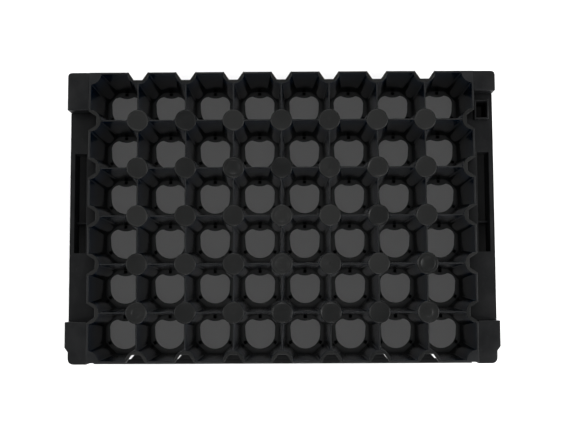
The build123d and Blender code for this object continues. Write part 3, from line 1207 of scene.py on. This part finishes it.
@dataclass
class CornerBlocks:
    """Hollow raised blocks on the four corners, open below and towards the cells."""

    grid: TrayGrid
    back_left: float = 53.0 * MM
    back_right: float = 28.0 * MM
    front: float = 58.0 * MM
    sheet: float = 2.5 * MM
    skirt_foot: float = 52.5 * MM
    back_radius: float = 6.5 * MM
    front_radius: float = 9.0 * MM
    step_in: float = 4.5 * MM
    step_at: float = 17.0 * MM
    step_run: float = 6.3 * MM
    step_round: float = 1.5 * MM
    inner_round: float = 1.2 * MM
    skirt_round: float = 0.3 * MM
    edge_round: float = 1.3 * MM
    pieces: list[bpy.types.Object] = field(default_factory=list)

    def build(self) -> None:
        """Builds the four blocks."""
        grid = self.grid
        self.pieces = [
            self._block("back_left", -1, grid.back_reach, -self.back_left, self.back_radius),
            self._block("back_right", 1, grid.back_reach, -self.back_right, self.back_radius),
            self._block("front_left", -1, -grid.block_front, self.front, self.front_radius),
            self._block("front_right", 1, -grid.block_front, self.front, self.front_radius),
        ]

    def dress(self, finishes: Finishes) -> None:
        """Gives the blocks their plastic; the first stands for all four plain ones."""
        for index, piece in enumerate(self.pieces):
            finishes.dress(piece, Finish.FLANGE, "flange", [] if index else ["corner_blocks"])

    def _block(self, name: str, sign: int, edge: float, run: float, radius: float) -> bpy.types.Object:
        """One block, from its long side's edge along the end.

        Args:
            name: which corner.
            sign: minus one on the left end, one on the right.
            edge: Y of the long side.
            run: how far the block goes from that edge, with its direction.
            radius: rounding of its outer corner.

        Returns:
            bpy.types.Object: the block.
        """
        grid = self.grid
        near, far = grid.end_wall_x, grid.end_reach
        inner = edge + run
        path = [(near, edge)]
        if edge < 0:
            path += [(far - self.step_in, edge), (far - self.step_in, edge + self.step_at)]
            path += [(far, edge + self.step_at + self.step_run)]
            radii = [radius, self.step_round, self.step_round, self.inner_round]
        else:
            path += [(far, edge)]
            radii = [radius, self.inner_round]
        path += [(far, inner), (near, inner)]
        path = [(sign * x, y) for x, y in Draw.cornered(path, radii)]
        top = Workbench.plate(f"block_top_{name}", [path], grid.deck_base, grid.deck_top, self.edge_round)
        thickness = self.sheet if (sign > 0) == (edge < 0) else -self.sheet
        wall = Draw.strip(path, thickness)
        skirt_top = grid.deck_top - self.edge_round
        skirt = Workbench.plate(f"block_skirt_{name}", [wall], self.skirt_foot, skirt_top, self.skirt_round)
        return Workbench.join([top, skirt], f"corner_block_{name}")


@dataclass
class SideRails:
    """Shelf with a down-turned lip along each long side, and the webs that fill the grooves above it."""

    grid: TrayGrid
    front_reach: float
    back_reach: float
    sheet: float = 2.5 * MM
    lip: float = 12.0 * MM
    web_depth: float = 15.0 * MM
    web_half: float = 14.0 * MM
    web_tip: float = 2.0 * MM
    shelf_round: float = 0.5 * MM
    lip_round: float = 0.4 * MM
    lip_drop: float = 0.6 * MM
    web_round: float = 0.4 * MM
    face: float = 198.5 * MM
    pieces: dict[str, bpy.types.Object] = field(default_factory=dict)

    def build(self) -> None:
        """Builds both rails as one piece and the groove webs as another."""
        rails = []
        for sign, reach in ((-1, self.front_reach), (1, self.back_reach)):
            rails += self._rail(sign, reach)
        self.pieces["side_rails"] = Workbench.join(rails, "side_shelves")
        self.pieces["groove_webs"] = Workbench.join(self._webs(), "groove_shelves")

    def dress(self, finishes: Finishes) -> None:
        """Gives both pieces their plastic."""
        for node, piece in self.pieces.items():
            finishes.dress(piece, Finish.FLANGE, "flange", [node])

    def _rail(self, sign: int, reach: float) -> list[bpy.types.Object]:
        """Shelf and lip on one long side."""
        half, top = self.grid.half_length, self.grid.rail_top
        shelf = Draw.box_of((-half, half), tuple(sorted((sign * self.face, sign * reach))))
        lip = Draw.box_of((-half, half), tuple(sorted((sign * (reach - self.sheet / 2), sign * reach))))
        return [
            Workbench.plate("shelf", [shelf], top - self.sheet, top, self.shelf_round),
            Workbench.plate("lip", [lip], top - self.sheet - self.lip, top - self.lip_drop, self.lip_round),
        ]

    def _webs(self) -> list[bpy.types.Object]:
        """Tapering webs in the grooves between the outer cells."""
        start = self.grid.half_width - self.face
        shape = [(-self.web_half, start), (self.web_half, start)]
        shape += [(self.web_tip, self.web_depth), (-self.web_tip, self.web_depth)]
        top = self.grid.rail_top
        webs = []
        for side in (Side.FRONT, Side.BACK):
            for spot in self.grid.edge_nodes(side):
                outline = side.at(spot, shape)
                webs.append(Workbench.plate("web", [outline], top - self.sheet, top, self.web_round))
        return webs


# ---------------------------------------------------------------------------------------------
# Studio
# ---------------------------------------------------------------------------------------------


@dataclass(frozen=True)
class Studio:
    """Pale floor, even sky, four large lamps and the camera above the tray."""

    lens: float = 61.93
    camera_spot: tuple[float, float, float] = (11.54, -107.04, 1450.0)
    camera_turn: tuple[float, float, float] = (4.701, 0.356, -0.266)
    sky: tuple[float, float, float] = (1.0, 1.0, 1.0)
    sky_strength: float = 0.9
    lamps: tuple[tuple[str, tuple[float, float, float], float, float], ...] = (
        ("lamp_right", (1.9, -0.3, 1.25), 1.0, 46.0),
        ("lamp_left", (-1.9, 0.1, 1.25), 1.0, 26.0),
        ("lamp_front", (0.2, -1.9, 1.25), 1.0, 34.0),
        ("lamp_back", (-0.1, 1.9, 1.25), 1.0, 26.0),
    )

    def build(self) -> None:
        """Lays the floor and sets the light and the camera."""
        self._floor()
        self._sky()
        for lamp in self.lamps:
            self._lamp(*lamp)
        self._camera()
        bpy.context.scene.view_settings.view_transform = "Standard"

    def _floor(self) -> None:
        """Plain floor under the tray."""
        Workbench.clear_selection()
        bpy.ops.mesh.primitive_plane_add(size=8.0, location=(0, 0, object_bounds()[0].z))
        floor = bpy.context.view_layer.objects.active
        floor.name = "studio_floor"
        floor.data.materials.append(PaleFloor().material())
        floor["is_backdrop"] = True

    def _sky(self) -> None:
        """Even pale surround."""
        world = bpy.data.worlds.new("studio_sky")
        world.use_nodes = True
        shade = world.node_tree.nodes["Background"]
        shade.inputs["Color"].default_value = (*self.sky, 1.0)
        shade.inputs["Strength"].default_value = self.sky_strength
        bpy.context.scene.world = world

    @staticmethod
    def _lamp(name: str, spot: tuple[float, float, float], size: float, power: float) -> None:
        """One large soft lamp aimed at the tray.

        Args:
            name: the lamp's name.
            spot: where it stands.
            size: side of its square face.
            power: its power in watts.
        """
        lamp = bpy.data.lights.new(name, "AREA")
        lamp.size = size
        lamp.energy = power
        holder = bpy.data.objects.new(name, lamp)
        holder.location = spot
        holder.rotation_euler = Vector(spot).to_track_quat("Z", "Y").to_euler()
        bpy.context.collection.objects.link(holder)
        holder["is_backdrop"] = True

    def _camera(self) -> None:
        """Camera high above the tray."""
        lens = bpy.data.cameras.new("camera")
        lens.lens = self.lens
        lens.sensor_width = 36.0
        holder = bpy.data.objects.new("camera", lens)
        holder.location = [value * MM for value in self.camera_spot]
        holder.rotation_euler = Euler([math.radians(a) for a in self.camera_turn], "ZYX")
        holder.rotation_mode = "ZYX"
        bpy.context.collection.objects.link(holder)
        bpy.context.scene.camera = holder


def main() -> None:
    """Builds the tray and its studio."""
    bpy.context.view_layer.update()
    grid = TrayGrid.from_frame()
    finishes = Finishes()
    deck = Deck(grid)
    assemblies = [
        CellBank(grid, finishes),
        deck,
        PostCaps(grid),
        TrayEnd(grid, deck, Side.LEFT, block_back=53.0 * MM),
        TrayEnd(grid, deck, Side.RIGHT, block_back=28.0 * MM),
        CornerBlocks(grid),
        SideRails(grid, front_reach=grid.front_reach, back_reach=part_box("side_rails")[1].y),
    ]
    for assembly in assemblies:
        assembly.build()
        assembly.dress(finishes)
    Studio().build()
    Workbench.clear_selection()


if __name__ == "__main__":
    main()
